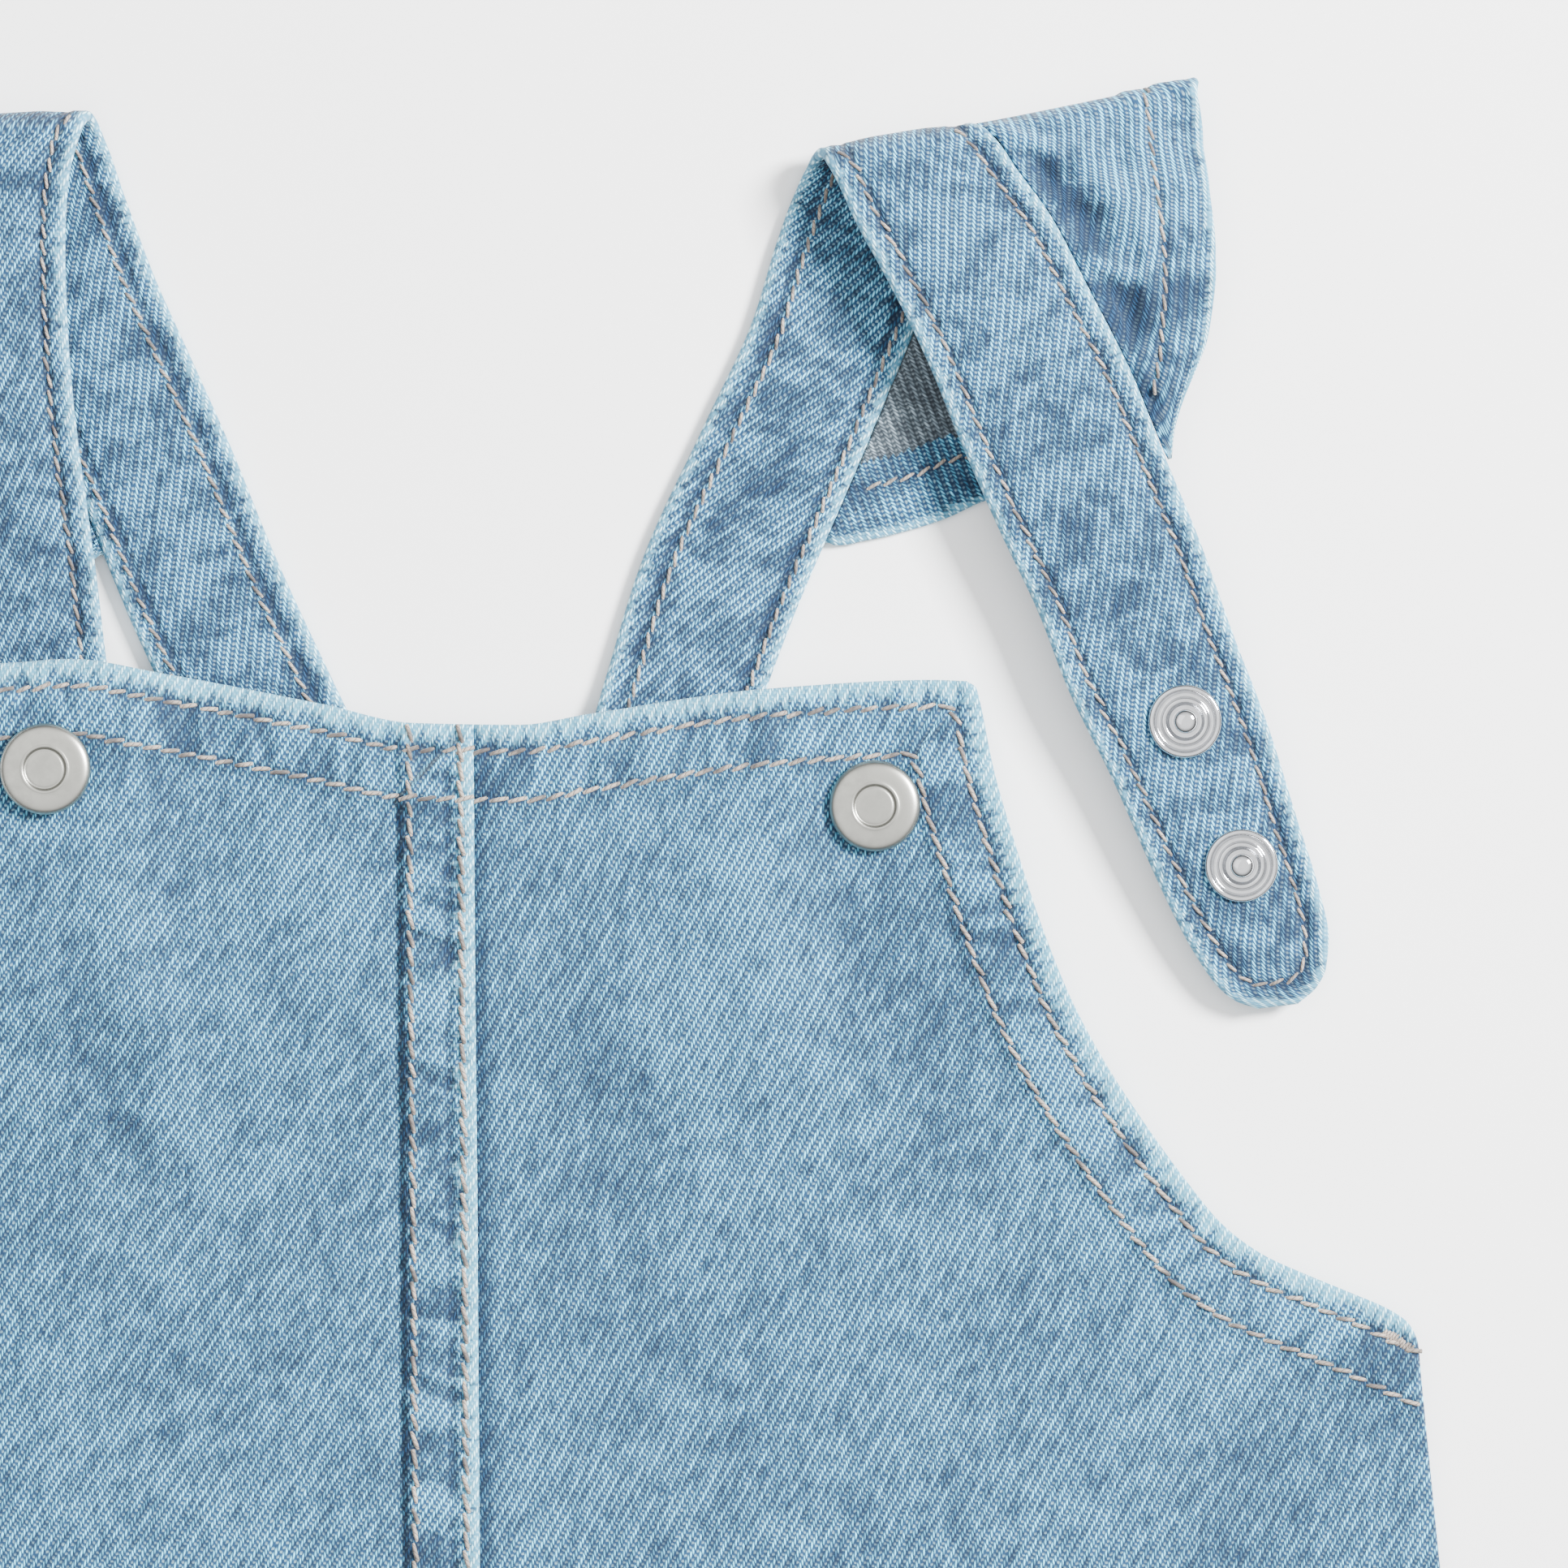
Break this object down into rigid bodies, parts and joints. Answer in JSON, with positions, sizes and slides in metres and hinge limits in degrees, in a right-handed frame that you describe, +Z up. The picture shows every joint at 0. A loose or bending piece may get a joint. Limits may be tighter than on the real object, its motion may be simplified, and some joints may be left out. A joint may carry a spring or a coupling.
{
  "type": "dungaree dress",
  "caption": "Toddler's denim dungaree dress laid flat, front up, with frilled shoulder straps on press studs, one strap fastened under the bib and one open.",
  "frame": {"origin": "middle of the laid garment's outline, on the surface that it lies on", "axes": "+X to the right across the front, +Y from the hem to the straps, +Z up, out of the front"},
  "size_m": [0.38, 0.5141, 0.0115],
  "materials": {
    "panel_denim": "light stone-washed 3/1 twill denim with twisted topstitching",
    "strap_denim": "mottled stone-washed denim, worn pale along its edges",
    "cap_nickel": "satin nickel",
    "stud_steel": "bright plated steel"
  },
  "bodies": {
    "root": {"front_left": "panel_denim", "front_right": "panel_denim", "back": "panel_denim", "strap_left": "strap_denim", "strap_right": "strap_denim", "frill_left": "strap_denim", "frill_right": "strap_denim", "snap_cap_left": "cap_nickel", "snap_cap_right": "cap_nickel", "socket_left": "stud_steel", "socket_right": "stud_steel", "stud_left_upper": "stud_steel", "stud_left_lower": "stud_steel", "stud_right_upper": "stud_steel", "stud_right_lower": "stud_steel", "stud_back_left_upper": "cap_nickel", "stud_back_left_lower": "cap_nickel", "stud_back_right_upper": "cap_nickel", "stud_back_right_lower": "cap_nickel"}
  },
  "joints": []
}
